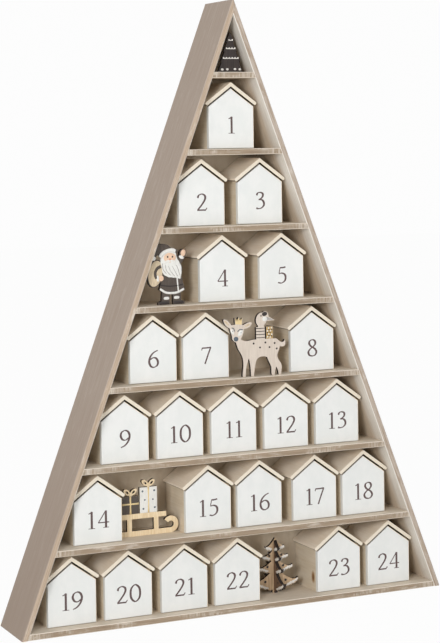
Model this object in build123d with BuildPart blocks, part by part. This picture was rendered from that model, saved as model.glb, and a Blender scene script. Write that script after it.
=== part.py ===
"""Wooden advent calendar: a tree-shaped case of boards with 24 small house drawers and cut-out figures.

Millimetres. X runs across the case, Y from front to back and Z up. The origin is on the floor, below
the middle of the case. Every board is an outline seen from the front, cut to its depth along Y.
"""
import os
from math import cos, hypot, radians, sin, sqrt, tan

from build123d import *

os.makedirs("parts", exist_ok=True)

# Case boards
board = 6.0  # side boards, shelves and base board
back_panel_ply = 3.0
edge_ease = 0.6  # sanded arris along the front edges
apex_blunt = 1.8  # how far the point of the case is sanded down
front_setback = 12.5  # from the case's front edge to the house fronts
house_back_gap = 1.0  # from a house to the back panel
headroom = 4.0  # from a roof ridge to the shelf above
figure_headroom = 2.8  # from the tallest figure to the shelf above, at least
bottom_row_clearance = 1.0  # outermost eave to the side board, row with most houses
top_row_clearance = 5.3  # the same beside the single house at the top

# House shells
house_width = 51.0
house_depth = 51.0
wall_height = 43.4  # top of the drawer front at its shoulders
roof_angle = 36.0
roof_board = 3.5
roof_gap = 1.7  # running gap between a drawer front and the roof over it
eave_overhang = 3.2
house_gap = 3.0  # between the eaves of neighbours
figure_gap = 2.2  # from the longest figure to the house walls beside it, at least
shell_wall = 3.0
shell_floor = 3.0

# Drawers
front_board = 5.0
front_round = 0.8  # softened edge round the face of a drawer front
front_lift = 0.5  # running gap between a drawer front and the shelf
tray_wall = 2.5
tray_floor = 2.5
tray_height = 27.0
tray_side_clearance = 0.5
tray_end_clearance = 1.0

# Cut-out figures
figure_ply = 3.5
fir_slot_play = 0.2
top_tree_height = 41.0
top_tree_width = 28.0
top_tree_setback = 9.0
santa_height = 62.0
santa_setback = 13.0
santa_side_gap = 2.8  # level, from the sack or hat to the leaning side board
reindeer_height = 62.0
reindeer_setback = 6.5
reindeer_nose_gap = 1.0  # from the muzzle to the edge of the drawer front it looks at
sledge_length = 65.0
sledge_bar = 5.2
sledge_curl_radius = 8.6
sledge_deck_height = 17.4
sledge_setback = 28.0
dark_gift_width = 18.8
dark_gift_height = 18.4
white_gift_width = 19.2
white_gift_height = 26.4
bow_loop = 4.4  # half the length of one loop of a bow
fir_height = 58.0
fir_width = 53.0
fir_back_gap = 0.5  # from its rearmost tip to the back panel
fir_turn_angle = -3.0  # the fir tree stands a little turned on its shelf

# What stands in each row, from the base board up
rows = (
    (19, 20, 21, 22, "fir_tree", 23, 24),
    (14, "sledge", 15, 16, 17, 18),
    (9, 10, 11, 12, 13),
    (6, 7, "reindeer", 8),
    ("santa_figure", 4, 5),
    (2, 3),
    (1,),
)
# Hand-placed offsets along the shelf, in shares of the place pitch
nudge_shares = {
    1: 0.03,
    2: -0.04,
    3: 0.055,
    4: -0.175,
    5: -0.05,
    6: 0.03,
    8: 0.025,
    16: -0.03,
    17: 0.04,
    18: 0.012,
    19: 0.02,
    20: 0.02,
    21: 0.04,
    22: 0.03,
    "sledge": 0.01,
    "fir_tree": -0.06,
}

# Outlines of the figures, as (across, up) shares of half the width and of the height
top_tree_outline_shares = (
    (1.00, 0.00),
    (0.68, 0.26),
    (0.78, 0.26),
    (0.44, 0.51),
    (0.55, 0.51),
    (0.23, 0.75),
    (0.32, 0.75),
    (0.00, 1.00),
)
# The fir's branches hang a little, lift at their tips and have a ragged lower edge
fir_outline_shares = (
    (0.13, 0.000),
    (0.13, 0.055),
    (0.30, 0.050),
    (0.43, 0.100),
    (0.48, 0.070),
    (0.62, 0.122),
    (0.66, 0.095),
    (0.80, 0.155),
    (0.84, 0.132),
    (0.97, 0.185),
    (1.00, 0.245),
    (0.92, 0.222),
    (0.74, 0.220),
    (0.48, 0.275),
    (0.22, 0.365),
    (0.32, 0.368),
    (0.43, 0.412),
    (0.47, 0.385),
    (0.59, 0.430),
    (0.62, 0.406),
    (0.74, 0.442),
    (0.76, 0.490),
    (0.70, 0.472),
    (0.56, 0.468),
    (0.36, 0.508),
    (0.16, 0.580),
    (0.30, 0.618),
    (0.33, 0.594),
    (0.42, 0.637),
    (0.45, 0.614),
    (0.55, 0.648),
    (0.565, 0.688),
    (0.53, 0.674),
    (0.41, 0.674),
    (0.25, 0.710),
    (0.11, 0.770),
    (0.19, 0.792),
    (0.21, 0.772),
    (0.29, 0.808),
    (0.31, 0.788),
    (0.40, 0.818),
    (0.41, 0.850),
    (0.36, 0.838),
    (0.22, 0.878),
    (0.10, 0.940),
    (0.00, 1.000),
)
fir_slot_share = 0.5

# Figures put together from outlines, in shares of the figure's height.
# An ellipse is (across, up, half length, half breadth, turn in degrees).
santa_sack_shares = (-0.275, 0.515, 0.138, 0.232, -12.0)
santa_ellipse_shares = (
    santa_sack_shares,
    (-0.02, 0.77, 0.145, 0.105, 0.0),  # head
    (-0.04, 0.845, 0.170, 0.078, 8.0),  # brim
    (-0.12, 0.89, 0.150, 0.106, -14.0),  # hat
    (-0.265, 0.86, 0.095, 0.048, 62.0),  # hat tail
    (-0.305, 0.77, 0.042, 0.042, 0.0),  # pompom
    (0.00, 0.575, 0.205, 0.180, 0.0),  # beard
    (0.165, 0.735, 0.120, 0.055, 60.0),  # raised sleeve
    (0.215, 0.825, 0.062, 0.078, -15.0),  # mitten
    (-0.19, 0.445, 0.090, 0.075, 0.0),  # hand on the sack
)
santa_coat_shares = (
    (-0.215, 0.25),
    (-0.11, 0.18),
    (0.00, 0.165),
    (0.12, 0.175),
    (0.245, 0.235),
    (0.195, 0.43),
    (0.17, 0.62),
    (-0.16, 0.62),
    (-0.145, 0.48),
)
santa_leg_shares = ((-0.175, 0.05), (-0.028, 0.05), (-0.028, 0.22), (-0.165, 0.22))
santa_sole_shares = ((-0.235, 0.00), (-0.03, 0.00), (-0.03, 0.065), (-0.17, 0.065), (-0.235, 0.04))

# The reindeer's outline is a chain of runs: two points make a straight one, more a smooth curve
reindeer_back_share = 0.612  # height of its level back
reindeer_tail_shares = (
    ((0.295, reindeer_back_share), (0.354, 0.592), (0.404, 0.550), (0.446, 0.541), (0.483, 0.584)),
    ((0.483, 0.584), (0.500, 0.534), (0.483, 0.482), (0.438, 0.466), (0.396, 0.481)),
)
reindeer_leg_shares = (
    (
        (0.396, 0.481),
        (0.384, 0.436),
        (0.359, 0.377),
        (0.345, 0.318),
        (0.370, 0.248),
        (0.412, 0.185),
        (0.426, 0.123),
        (0.418, 0.064),
        (0.412, 0.000),
    ),
    ((0.412, 0.000), (0.365, 0.000)),
    ((0.365, 0.000), (0.355, 0.068), (0.337, 0.114), (0.323, 0.138)),
    ((0.323, 0.138), (0.311, 0.101), (0.298, 0.056), (0.295, 0.000)),
    ((0.295, 0.000), (0.241, 0.000)),
    ((0.241, 0.000), (0.231, 0.061), (0.231, 0.121), (0.202, 0.199), (0.170, 0.266), (0.152, 0.308)),
    (
        (0.152, 0.308),
        (0.101, 0.321),
        (0.034, 0.319),
        (-0.025, 0.290),
        (-0.062, 0.202),
        (-0.084, 0.097),
        (-0.093, 0.000),
    ),
    ((-0.093, 0.000), (-0.146, 0.000)),
    ((-0.146, 0.000), (-0.152, 0.117), (-0.163, 0.216), (-0.184, 0.308)),
    ((-0.184, 0.308), (-0.205, 0.249), (-0.231, 0.160), (-0.242, 0.078), (-0.247, 0.000)),
    ((-0.247, 0.000), (-0.301, 0.000)),
)
reindeer_neck_shares = (
    (
        (-0.301, 0.000),
        (-0.296, 0.096),
        (-0.286, 0.179),
        (-0.288, 0.255),
        (-0.301, 0.328),
        (-0.332, 0.394),
        (-0.369, 0.454),
        (-0.396, 0.519),
        (-0.416, 0.584),
    ),
)
reindeer_muzzle_shares = ((-0.416, 0.584), (-0.449, 0.601), (-0.480, 0.636), (-0.487, 0.673))
reindeer_head_shares = (
    ((-0.487, 0.673), (-0.497, 0.722), (-0.517, 0.776), (-0.527, 0.823)),
    ((-0.527, 0.823), (-0.577, 0.852), (-0.621, 0.904), (-0.645, 0.974)),
    ((-0.645, 0.974), (-0.594, 0.971), (-0.542, 0.932), (-0.500, 0.874)),
    ((-0.500, 0.874), (-0.429, 0.881)),
    ((-0.429, 0.881), (-0.436, 0.990)),
    ((-0.436, 0.990), (-0.396, 0.935)),
    ((-0.396, 0.935), (-0.365, 1.000)),
    ((-0.365, 1.000), (-0.335, 0.934)),
    ((-0.335, 0.934), (-0.291, 0.985)),
    ((-0.291, 0.985), (-0.301, 0.866)),
    ((-0.301, 0.866), (-0.241, 0.883), (-0.185, 0.904), (-0.120, 0.896)),
    ((-0.120, 0.896), (-0.140, 0.852), (-0.190, 0.816), (-0.268, 0.804)),
    ((-0.268, 0.804), (-0.273, 0.760), (-0.288, 0.708), (-0.308, 0.667), (-0.325, 0.632)),
    ((-0.325, 0.632), (-0.286, 0.608), (-0.227, 0.597), (-0.157, 0.603), (-0.084, reindeer_back_share)),
    ((-0.084, reindeer_back_share), (0.295, reindeer_back_share)),
)
reindeer_outline_shares = (
    *reindeer_tail_shares,
    *reindeer_leg_shares,
    *reindeer_neck_shares,
    reindeer_muzzle_shares,
    *reindeer_head_shares,
)
striped_parcel_shares = (0.037, 0.160, 0.204)  # centre, width and height
gold_parcel_shares = (0.204, 0.121, 0.204)
bird_head_shares = (0.085, 0.190, 0.068, 0.066, 0.0)
bird_body_shares = (0.018, 0.122, 0.098, 0.118, -12.0)
bird_beak_shares = ((0.125, 0.185), (0.270, 0.100), (0.100, 0.095))
bird_perch_shares = ((-0.045, 0.00), (0.065, 0.00), (0.065, 0.06), (-0.045, 0.06))

sledge_post_shares = (-0.33, 0.12)  # along the runner
sledge_deck_shares = (-0.475, 0.295)  # its two ends
curl_start_angle = -90.0
curl_sweep_angle = 235.0
dark_gift_share = -0.31
white_gift_share = -0.005
bow_breadth_share = 0.55
bow_hole_share = 0.45
bow_spread_shares = (0.80, 0.95)  # centre of a loop, across and up, in loop half-lengths
bow_knot_shares = (0.70, 0.75)  # width and height of the knot
bow_turn_angle = 40.0


def ellipse_reach(ellipse, toward):
    """How far a turned ellipse reaches along a direction (across, up), in the same shares."""
    across, up, length, breadth, turn = ellipse
    along_length = toward[0] * cos(radians(turn)) + toward[1] * sin(radians(turn))
    along_breadth = toward[1] * cos(radians(turn)) - toward[0] * sin(radians(turn))
    return toward[0] * across + toward[1] * up + hypot(length * along_length, breadth * along_breadth)


# Sizes that follow from the driving ones
slope = tan(radians(roof_angle))
square = cos(radians(roof_angle))
house_half = house_width / 2
front_peak = wall_height + house_half * slope
roof_seat_peak = front_peak + roof_gap / square
house_height = roof_seat_peak + roof_board / square
eave_half = house_half + eave_overhang
nose_across = eave_half - roof_board / 2
nose_up = roof_seat_peak + roof_board / 2 / square - nose_across * slope

# A place is as wide as a house with its eaves, or as the longest figure between two houses needs
reindeer_nose = max(-across for across, up in reindeer_muzzle_shares) * reindeer_height
reindeer_rear = max(across for run in reindeer_tail_shares for across, up in run) * reindeer_height
longest_figure = max(sledge_length, reindeer_nose + reindeer_rear, fir_width)
place_pitch = max(2 * eave_half + house_gap, (house_width + longest_figure) / 2 + figure_gap)

# A tier is as high as a house, or as the tallest figure with what it carries
load_shares = (reindeer_back_share, striped_parcel_shares[2], ellipse_reach(bird_head_shares, (0, 1)))
reindeer_load_height = sum(load_shares) * reindeer_height
sledge_load_height = sledge_deck_height + sledge_bar + max(dark_gift_height, white_gift_height) + 2 * bow_loop
tallest_figure = max(santa_height, reindeer_load_height, sledge_load_height, fir_height)
tier_pitch = board + max(house_height + headroom, tallest_figure + figure_headroom)

case_depth = front_setback + house_depth + house_back_gap + back_panel_ply
case_front = -case_depth / 2
case_back = case_depth / 2
shelf_back = case_back - back_panel_ply
house_front = case_front + front_setback
house_back = house_front + house_depth
drawer_back = house_front + front_board
tray_length = house_depth - front_board - shell_wall - tray_end_clearance
tray_half = house_half - shell_wall - tray_side_clearance
tray_top = shell_floor + tray_floor + tray_height

# The side boards lean so that each row up has room for one place less
lower_half = (len(rows[0]) - 1) / 2 * place_pitch + eave_half + bottom_row_clearance
upper_half = (len(rows[-1]) - 1) / 2 * place_pitch + eave_half + top_row_clearance
lean = (lower_half - upper_half) / ((len(rows) - 1) * tier_pitch)
inner_apex = board + nose_up + lower_half / lean
outer_apex = inner_apex + board * sqrt(1 + lean**2) / lean
case_height = outer_apex - apex_blunt


def inner_half(height):
    """Half the clear width between the side boards at a height."""
    return lean * (inner_apex - height)


def outer_half(height):
    """Half the case's width over the side boards at a height."""
    return lean * (outer_apex - height)


def roof_seat(across):
    """Height of the roof's underside above the shelf, at a distance from the ridge line."""
    return roof_seat_peak - across * slope


def upright(x, y, z):
    """A drawing plane that faces the front; what is drawn on it has its back face at y."""
    return Plane(origin=(x, y, z), x_dir=(1, 0, 0), z_dir=(0, -1, 0))


def scaled(shares, across, up):
    """Outline points from shares of a width and a height."""
    return [(u * across, v * up) for u, v in shares]


def both_halves(right_points):
    """A closed outline from its right half, which ends on the middle line."""
    left_points = [(-x, z) for x, z in reversed(right_points[:-1])]
    return right_points + left_points


def add_ellipses(shares, size):
    """Adds ellipses, given in shares of a figure's height, to the sketch being drawn."""
    for across, up, length, breadth, turn in shares:
        with Locations((across * size, up * size)):
            Ellipse(length * size, breadth * size, rotation=turn)


def write(piece, name):
    """Labels a finished piece and writes its STEP file."""
    piece.label = name
    export_step(piece, f"parts/{name}.step")


# Where each house or figure stands: its middle across the case and its shelf's top
places = {}
for row, contents in enumerate(rows):
    for index, key in enumerate(contents):
        step = index - (len(contents) - 1) / 2 + nudge_shares.get(key, 0)
        places[key] = (step * place_pitch, row * tier_pitch + board)

# Father Christmas stands by the left side board, the reindeer by the house it looks at
santa_z = places["santa_figure"][1]
sack_reach = max(ellipse_reach(ellipse, (-1, lean)) for ellipse in santa_ellipse_shares) * santa_height
santa_x = sack_reach + santa_side_gap - inner_half(santa_z)
deer_z = places["reindeer"][1]
deer_x = places[7][0] + house_half + reindeer_nose_gap + reindeer_nose

# Side boards: cut level at the floor, mitred against each other at the top
for side, name in ((-1, "left_side_board"), (1, "right_side_board")):
    with BuildPart() as side_board:
        with BuildSketch(upright(0, case_back, 0)):
            with BuildLine():
                Polyline(
                    (side * outer_half(0), 0),
                    (side * inner_half(0), 0),
                    (0, inner_apex),
                    (0, case_height),
                    (side * outer_half(case_height), case_height),
                    close=True,
                )
            make_face()
        extrude(amount=case_depth)
        front_edges = side_board.edges().group_by(Axis.Y)[0].sort_by(SortBy.LENGTH)
        chamfer(front_edges[-2:], edge_ease)
    write(side_board.part, name)

# Base board and shelves: their ends are bevelled to lie against the leaning side boards
for tier in range(len(rows) + 1):
    under = tier * tier_pitch
    over = under + board
    with BuildPart() as shelf:
        with BuildSketch(upright(0, case_back if tier == 0 else shelf_back, 0)):
            with BuildLine():
                Polyline(
                    (-inner_half(under), under),
                    (inner_half(under), under),
                    (inner_half(over), over),
                    (-inner_half(over), over),
                    close=True,
                )
            make_face()
        extrude(amount=case_depth if tier == 0 else case_depth - back_panel_ply)
        chamfer(shelf.edges().group_by(Axis.Y)[0].filter_by(Axis.X), edge_ease)
    write(shelf.part, f"shelf_{tier}" if tier else "base_board")

# Back panel: stands on the base board between the side boards, behind the shelves
with BuildPart() as back_panel:
    with BuildSketch(upright(0, case_back, 0)):
        with BuildLine():
            Polyline((-inner_half(board), board), (inner_half(board), board), (0, inner_apex), close=True)
        make_face()
    extrude(amount=back_panel_ply)
write(back_panel.part, "back_panel")


def house_wall(x, z, side):
    """A side wall, with its top bevelled to carry the roof board."""
    inner_face = house_half - shell_wall
    with BuildPart() as wall:
        with BuildSketch(upright(x, house_back - shell_wall, z)):
            with BuildLine():
                Polyline(
                    (side * house_half, 0),
                    (side * inner_face, 0),
                    (side * inner_face, roof_seat(inner_face)),
                    (side * house_half, roof_seat(house_half)),
                    close=True,
                )
            make_face()
        extrude(amount=house_depth - front_board - shell_wall)
    return wall.part


def house_floor(x, z):
    """The floor between the side walls, on which the drawer's tray slides."""
    with BuildPart() as floor:
        with BuildSketch(upright(x, house_back - shell_wall, z)):
            Rectangle(house_width - 2 * shell_wall, shell_floor, align=(Align.CENTER, Align.MIN))
        extrude(amount=house_depth - front_board - shell_wall)
    return floor.part


def house_gable(x, z):
    """The back wall, a gable up to the underside of the roof."""
    with BuildPart() as gable:
        with BuildSketch(upright(x, house_back, z)):
            with BuildLine():
                Polyline(
                    (-house_half, 0),
                    (house_half, 0),
                    (house_half, roof_seat(house_half)),
                    (0, roof_seat_peak),
                    (-house_half, roof_seat(house_half)),
                    close=True,
                )
            make_face()
        extrude(amount=shell_wall)
    return gable.part


def roof_half(x, z, side):
    """A roof board, mitred at the ridge and with a rounded nose at the eave."""
    reach = roof_board / 2
    across, up = sin(radians(roof_angle)) * reach, square * reach
    under_end = (side * (nose_across - across), nose_up - up)
    nose_tip = (side * (nose_across + up), nose_up - across)
    over_end = (side * (nose_across + across), nose_up + up)
    with BuildPart() as roof:
        with BuildSketch(upright(x, house_back, z)):
            with BuildLine():
                Line((0, roof_seat_peak), under_end)
                ThreePointArc(under_end, nose_tip, over_end)
                Line(over_end, (0, house_height))
                Line((0, house_height), (0, roof_seat_peak))
            make_face()
        extrude(amount=house_depth)
    return roof.part


def drawer_front(x, z):
    """The house-shaped face of a drawer, with softened front edges."""
    with BuildPart() as front:
        with BuildSketch(upright(x, drawer_back, z)):
            with BuildLine():
                Polyline(
                    (-house_half, front_lift),
                    (house_half, front_lift),
                    (house_half, wall_height),
                    (0, front_peak),
                    (-house_half, wall_height),
                    close=True,
                )
            make_face()
        extrude(amount=front_board)
        fillet(front.edges().group_by(Axis.Y)[0], front_round)
    return front.part


def tray_board(x, z, left, right, bottom, top, back, depth):
    """A straight board of a drawer's tray, between the given sides."""
    with BuildPart() as tray:
        with BuildSketch(upright(x, back, z)):
            with BuildLine():
                Polyline((left, bottom), (right, bottom), (right, top), (left, top), close=True)
            make_face()
        extrude(amount=depth)
    return tray.part


def drawer_boards(x, z):
    """A whole drawer: its face, and an open tray of floor, sides and back behind it."""
    tray_back = drawer_back + tray_length
    inner = tray_half - tray_wall
    base = shell_floor
    deck = shell_floor + tray_floor
    return [
        drawer_front(x, z),
        tray_board(x, z, -tray_half, tray_half, base, deck, tray_back, tray_length),
        tray_board(x, z, -tray_half, -inner, deck, tray_top, tray_back, tray_length),
        tray_board(x, z, inner, tray_half, deck, tray_top, tray_back, tray_length),
        tray_board(x, z, -inner, inner, deck, tray_top, tray_back, tray_wall),
    ]


# Houses row by row: shells, roofs and one drawer for each number
for row, contents in enumerate(rows):
    shells = []
    roofs = []
    for key in contents:
        if isinstance(key, str):
            continue
        x, z = places[key]
        shells += [house_wall(x, z, -1), house_wall(x, z, 1), house_floor(x, z), house_gable(x, z)]
        roofs += [roof_half(x, z, -1), roof_half(x, z, 1)]
        write(Compound(children=drawer_boards(x, z)), f"drawer_{key:02d}")
    write(Compound(children=shells), f"house_shells_row_{row + 1}")
    write(Compound(children=roofs), f"house_roofs_row_{row + 1}")

# Small tree in the top niche: one ply piece with four stepped tiers
with BuildPart() as top_tree:
    with BuildSketch(upright(0, case_front + top_tree_setback + figure_ply, len(rows) * tier_pitch + board)):
        with BuildLine():
            right = scaled(top_tree_outline_shares, top_tree_width / 2, top_tree_height)
            Polyline(*both_halves(right), close=True)
        make_face()
    extrude(amount=figure_ply)
write(top_tree.part, "top_tree")

# Father Christmas: one ply figure with a sack on its back and one arm raised
with BuildPart() as santa_figure:
    with BuildSketch(upright(santa_x, case_front + santa_setback + figure_ply, santa_z)):
        add_ellipses(santa_ellipse_shares, santa_height)
        Polygon(*scaled(santa_coat_shares, santa_height, santa_height), align=None)
        for side in (-1, 1):
            Polygon(*scaled(santa_leg_shares, side * santa_height, santa_height), align=None)
            Polygon(*scaled(santa_sole_shares, side * santa_height, santa_height), align=None)
    extrude(amount=figure_ply)
write(santa_figure.part, "santa_figure")

# Reindeer: one ply figure with ears, a small crown and four legs
deer_back = case_front + reindeer_setback + figure_ply
deer_top = reindeer_back_share * reindeer_height
with BuildPart() as reindeer:
    with BuildSketch(upright(deer_x, deer_back, deer_z)):
        with BuildLine():
            for run in reindeer_outline_shares:
                points = scaled(run, reindeer_height, reindeer_height)
                if len(points) > 2:
                    Spline(*points)
                else:
                    Line(*points)
        make_face()
    extrude(amount=figure_ply)
write(reindeer.part, "reindeer")


def parcel(x, back, z, width, height):
    """A flat ply parcel that stands on what is under it."""
    with BuildPart() as block:
        with BuildSketch(upright(x, back, z)):
            Rectangle(width, height, align=(Align.CENTER, Align.MIN))
        extrude(amount=figure_ply)
    return block.part


# Two parcels and a bird on the reindeer's back
load = []
for centre, width, height in (striped_parcel_shares, gold_parcel_shares):
    sizes = (centre * reindeer_height, width * reindeer_height, height * reindeer_height)
    load.append(parcel(deer_x + sizes[0], deer_back, deer_z + deer_top, sizes[1], sizes[2]))
perch_z = deer_z + deer_top + striped_parcel_shares[2] * reindeer_height
with BuildPart() as bird:
    with BuildSketch(upright(deer_x + striped_parcel_shares[0] * reindeer_height, deer_back, perch_z)):
        add_ellipses((bird_body_shares, bird_head_shares), reindeer_height)
        for shares in (bird_beak_shares, bird_perch_shares):
            Polygon(*scaled(shares, reindeer_height, reindeer_height), align=None)
    extrude(amount=figure_ply)
write(Compound(children=[*load, bird.part]), "reindeer_parcels")

# Sledge: a runner that curls up in front, two posts and a deck, in one ply piece
sledge_x, sledge_z = places["sledge"]
sledge_back = case_front + sledge_setback + figure_ply
curl_x = sledge_length / 2 - sledge_curl_radius
curl_inner = sledge_curl_radius - sledge_bar
with BuildPart() as sledge:
    with BuildSketch(upright(sledge_x, sledge_back, sledge_z)):
        with BuildLine():
            heel = Line((-sledge_length / 2, sledge_bar), (-sledge_length / 2, 0))
            sole = Line(heel @ 1, (curl_x, 0))
            curl_centre = (curl_x, sledge_curl_radius)
            outer = CenterArc(curl_centre, sledge_curl_radius, curl_start_angle, curl_sweep_angle)
            inner = CenterArc(curl_centre, curl_inner, curl_start_angle, curl_sweep_angle)
            Line(outer @ 1, inner @ 1)
            Line(inner @ 0, heel @ 0)
        make_face()
        for share in sledge_post_shares:
            with Locations((share * sledge_length, sledge_bar / 2)):
                Rectangle(sledge_bar, sledge_deck_height, align=(Align.CENTER, Align.MIN))
        deck_start, deck_end = (share * sledge_length for share in sledge_deck_shares)
        with Locations(((deck_start + deck_end) / 2, sledge_deck_height)):
            Rectangle(deck_end - deck_start, sledge_bar, align=(Align.CENTER, Align.MIN))
    extrude(amount=figure_ply)
write(sledge.part, "sledge")


def ribbon_bow(x, back, z):
    """A two-looped bow whose knot stands on a gift."""
    knot_width, knot_height = (share * bow_loop for share in bow_knot_shares)
    spread, rise = (share * bow_loop for share in bow_spread_shares)
    breadth = bow_loop * bow_breadth_share
    with BuildPart() as bow:
        with BuildSketch(upright(x, back, z)):
            Rectangle(knot_width, knot_height, align=(Align.CENTER, Align.MIN))
            for side in (-1, 1):
                with Locations((side * spread, rise)):
                    Ellipse(bow_loop, breadth, rotation=side * bow_turn_angle)
                    Ellipse(
                        bow_loop * bow_hole_share,
                        breadth * bow_hole_share,
                        rotation=side * bow_turn_angle,
                        mode=Mode.SUBTRACT,
                    )
        extrude(amount=figure_ply)
    return bow.part


# Two gifts with bows on the sledge's deck
deck_top = sledge_z + sledge_deck_height + sledge_bar
gifts = []
for share, width, height in (
    (dark_gift_share, dark_gift_width, dark_gift_height),
    (white_gift_share, white_gift_width, white_gift_height),
):
    gift_x = sledge_x + share * sledge_length
    gifts.append(parcel(gift_x, sledge_back, deck_top, width, height))
    gifts.append(ribbon_bow(gift_x, sledge_back, deck_top + height))
write(Compound(children=gifts), "sledge_gifts")

# Fir tree: two panels slotted into each other, one from below and one from above
fir_x, fir_z = places["fir_tree"]
along = (cos(radians(fir_turn_angle)), sin(radians(fir_turn_angle)), 0)
facing = (along[1], -along[0], 0)
behind = (-along[1], along[0], 0)
fir_reach = fir_width / 2 * along[0] + figure_ply / 2 * abs(along[1])
fir_line = (fir_x, shelf_back - fir_back_gap - fir_reach, fir_z)
slot_height = fir_slot_share * fir_height
for name, across, normal, slot_from in (
    ("fir_panel_wide", along, facing, 0),
    ("fir_panel_cross", behind, along, slot_height),
):
    with BuildPart() as fir_panel:
        with BuildSketch(Plane(origin=fir_line, x_dir=across, z_dir=normal).offset(-figure_ply / 2)):
            with BuildLine():
                right = scaled(fir_outline_shares, fir_width / 2, fir_height)
                Polyline(*both_halves(right), close=True)
            make_face()
            with Locations((0, slot_from)):
                Rectangle(
                    figure_ply + fir_slot_play,
                    slot_height,
                    align=(Align.CENTER, Align.MIN),
                    mode=Mode.SUBTRACT,
                )
        extrude(amount=figure_ply)
    write(fir_panel.part, name)

print(f"case {2 * outer_half(0):.1f} x {case_depth:.1f} x {case_height:.1f} mm")
print(f"father christmas at {santa_x:.1f}, reindeer at {deer_x:.1f}, fir line at {fir_line[1]:.1f}")
print(f"place pitch {place_pitch:.1f}, tier pitch {tier_pitch:.1f}, lean {lean:.4f}")
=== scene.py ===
# %% [markdown]
# # A wooden advent calendar, dressed over its CAD boards
# The case, the houses, the drawers and the cut-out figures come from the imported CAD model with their
# real sizes. This lesson gives each of them its finish, prints the numerals on the drawers and paints
# the figures. Everything is in metres, in the CAD model's own frame: X across, Y to the back, Z up.

# %% Load the CAD frame
from functools import partial

import bpy
import numpy as np
from mathutils import Matrix, Vector


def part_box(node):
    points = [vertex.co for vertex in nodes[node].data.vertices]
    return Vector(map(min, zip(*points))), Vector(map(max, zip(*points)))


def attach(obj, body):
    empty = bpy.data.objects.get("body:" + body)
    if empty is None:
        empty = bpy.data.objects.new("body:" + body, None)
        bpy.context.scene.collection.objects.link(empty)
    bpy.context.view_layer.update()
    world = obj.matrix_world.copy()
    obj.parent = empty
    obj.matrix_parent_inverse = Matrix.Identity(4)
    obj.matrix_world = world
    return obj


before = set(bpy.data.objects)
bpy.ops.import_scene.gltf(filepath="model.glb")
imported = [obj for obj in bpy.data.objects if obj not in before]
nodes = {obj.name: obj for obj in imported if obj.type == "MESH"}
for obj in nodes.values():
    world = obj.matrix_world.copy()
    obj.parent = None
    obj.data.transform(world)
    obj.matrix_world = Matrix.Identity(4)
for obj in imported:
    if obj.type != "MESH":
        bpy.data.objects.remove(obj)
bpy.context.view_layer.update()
mm = 0.001

# %% [markdown]
# ## Colours and shader nodes
# Colours are easiest to compare with a picture as sRGB hex codes, but a shader adds up light, so it
# needs linear values. One function turns one into the other. A second one adds a shader node with its
# settings and links, so that every material below reads as a list of what its surface does, from the
# pattern to the shader. All finishes on this object are dull coats over a fine relief, so a third function
# ends each of them in the same way.


# %% Colour and node helpers
def linear(code):
    """Linear colour of an sRGB hex code: small channels are divided by 12.92, others take a 2.4 power."""
    channels = np.array([int(code[start : start + 2], 16) for start in (1, 3, 5)]) / 255
    curved = ((channels + 0.055) / 1.055) ** 2.4
    return (*np.where(channels <= 0.04045, channels / 12.92, curved), 1.0)


def add(tree, kind, sockets=(), **settings):
    """Adds a shader node, sets its properties, and gives named inputs a value, a hex colour or a link."""
    made = tree.nodes.new("ShaderNode" + kind)
    for name, value in settings.items():
        setattr(made, name, value)
    inputs = [socket for socket in made.inputs if socket.enabled]
    for name, value in dict(sockets).items():
        target = next(socket for socket in inputs if name in (socket.name, socket.identifier))
        if isinstance(value, str):
            value = linear(value)
        if isinstance(value, bpy.types.Node):
            value = next(socket for socket in value.outputs if socket.enabled)
        if isinstance(value, bpy.types.NodeSocket):
            tree.links.new(value, target)
        else:
            target.default_value = value
    return made


def new_finish(name):
    """An empty node material and its tree."""
    material = bpy.data.materials.new(name)
    material.use_nodes = True
    material.node_tree.nodes.clear()
    return material, material.node_tree


def end_finish(tree, colour, relief, depth, strength, roughness):
    """Ends a finish with a dull coat of a colour over a relief that is a depth in mm high."""
    bump = add(tree, "Bump", {"Height": relief, "Distance": depth * mm, "Strength": strength})
    coat = {"Base Color": colour, "Roughness": roughness, "Normal": bump}
    add(tree, "OutputMaterial", {"Surface": add(tree, "BsdfPrincipled", coat)})


def dress(material, *names):
    """Gives CAD nodes one finish."""
    for name in names:
        slots = nodes[name].data.materials
        slots.clear()
        slots.append(material)


print("mid grey in linear light:", np.round(linear("#808080"), 3).tolist())

# %% [markdown]
# ## Grain
# All boards are a light softwood or poplar: fine fibres along the board, wider bands of growth, and
# patches where the finish was rubbed through. Image textures would repeat and have seams, so noise is
# used, stretched along the board. A Mapping node of the kind Texture divides by its scale, so the scale
# can be written as the real size of a feature: millimetres across the grain and along it.

# %% Streaks along a board
quarter = np.pi / 2
along_x, along_y, along_z = (0.0, quarter, 0.0), (quarter, 0.0, 0.0), (0.0, 0.0, 0.0)
grain_noise = {"Scale": 1.0, "Detail": 4.0, "Roughness": 0.6}


def streaks(tree, turn, width, length, low=0.35, high=0.65):
    """Noise stretched along a board: features of a width and a length in mm, as shares from 0 to 1."""
    place = add(tree, "TexCoord").outputs["Object"]
    sizes = (width * mm, width * mm, length * mm)
    laid = add(tree, "Mapping", {"Vector": place, "Rotation": turn, "Scale": sizes}, vector_type="TEXTURE")
    noise = add(tree, "TexNoise", {"Vector": laid, **grain_noise})
    limits = {"Value": noise, "From Min": low, "From Max": high}
    return add(tree, "MapRange", limits, interpolation_type="SMOOTHSTEP")


def looks(tree, axis, start, full):
    """Share of 0 to 1 by how a face's normal points along an axis: 0 at start, 1 at full."""
    normal = add(tree, "SeparateXYZ", {"Vector": add(tree, "TexCoord").outputs["Normal"]}).outputs[axis]
    return add(tree, "MapRange", {"Value": normal, "From Min": start, "From Max": full})


print("grain runs along X, Y or Z by turns of", round(quarter, 4), "rad")

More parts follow.
